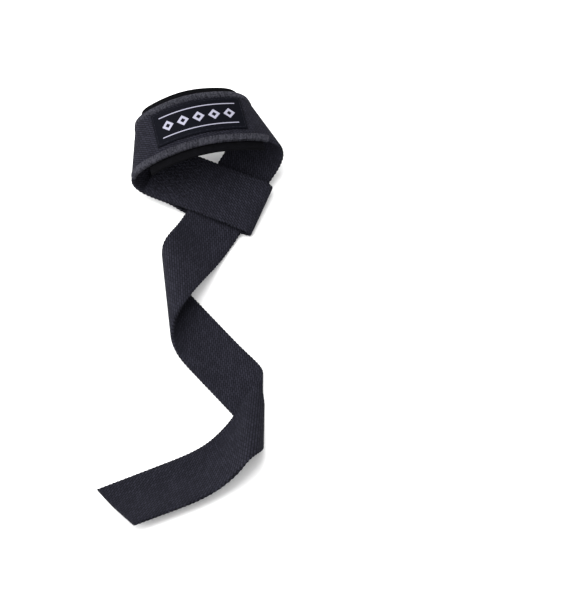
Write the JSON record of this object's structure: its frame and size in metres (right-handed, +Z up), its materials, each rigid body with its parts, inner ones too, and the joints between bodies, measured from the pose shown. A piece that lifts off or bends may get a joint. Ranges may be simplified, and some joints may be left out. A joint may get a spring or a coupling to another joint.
{
  "type": "weightlifting strap",
  "caption": "Lasso-type weightlifting strap of heavy cotton webbing, its end threaded through a sewn eye to form a padded wrist loop, lying with its free tail turned over on a table.",
  "frame": {"origin": "middle of the footprint of the strap as it lies, on the table", "axes": "+Z up from the table, +Y from the free end towards the wrist loop, +X to the right when the wrist loop is seen at the far end"},
  "size_m": [0.118, 0.3056, 0.0494],
  "materials": {
    "webbing": "matt charcoal cotton webbing",
    "pad": "black neoprene foam with a knitted face",
    "label": "black woven satin"
  },
  "bodies": {
    "root": {"strap_webbing": "webbing", "wrist_pad": "pad", "label_patch": "label"}
  },
  "joints": []
}
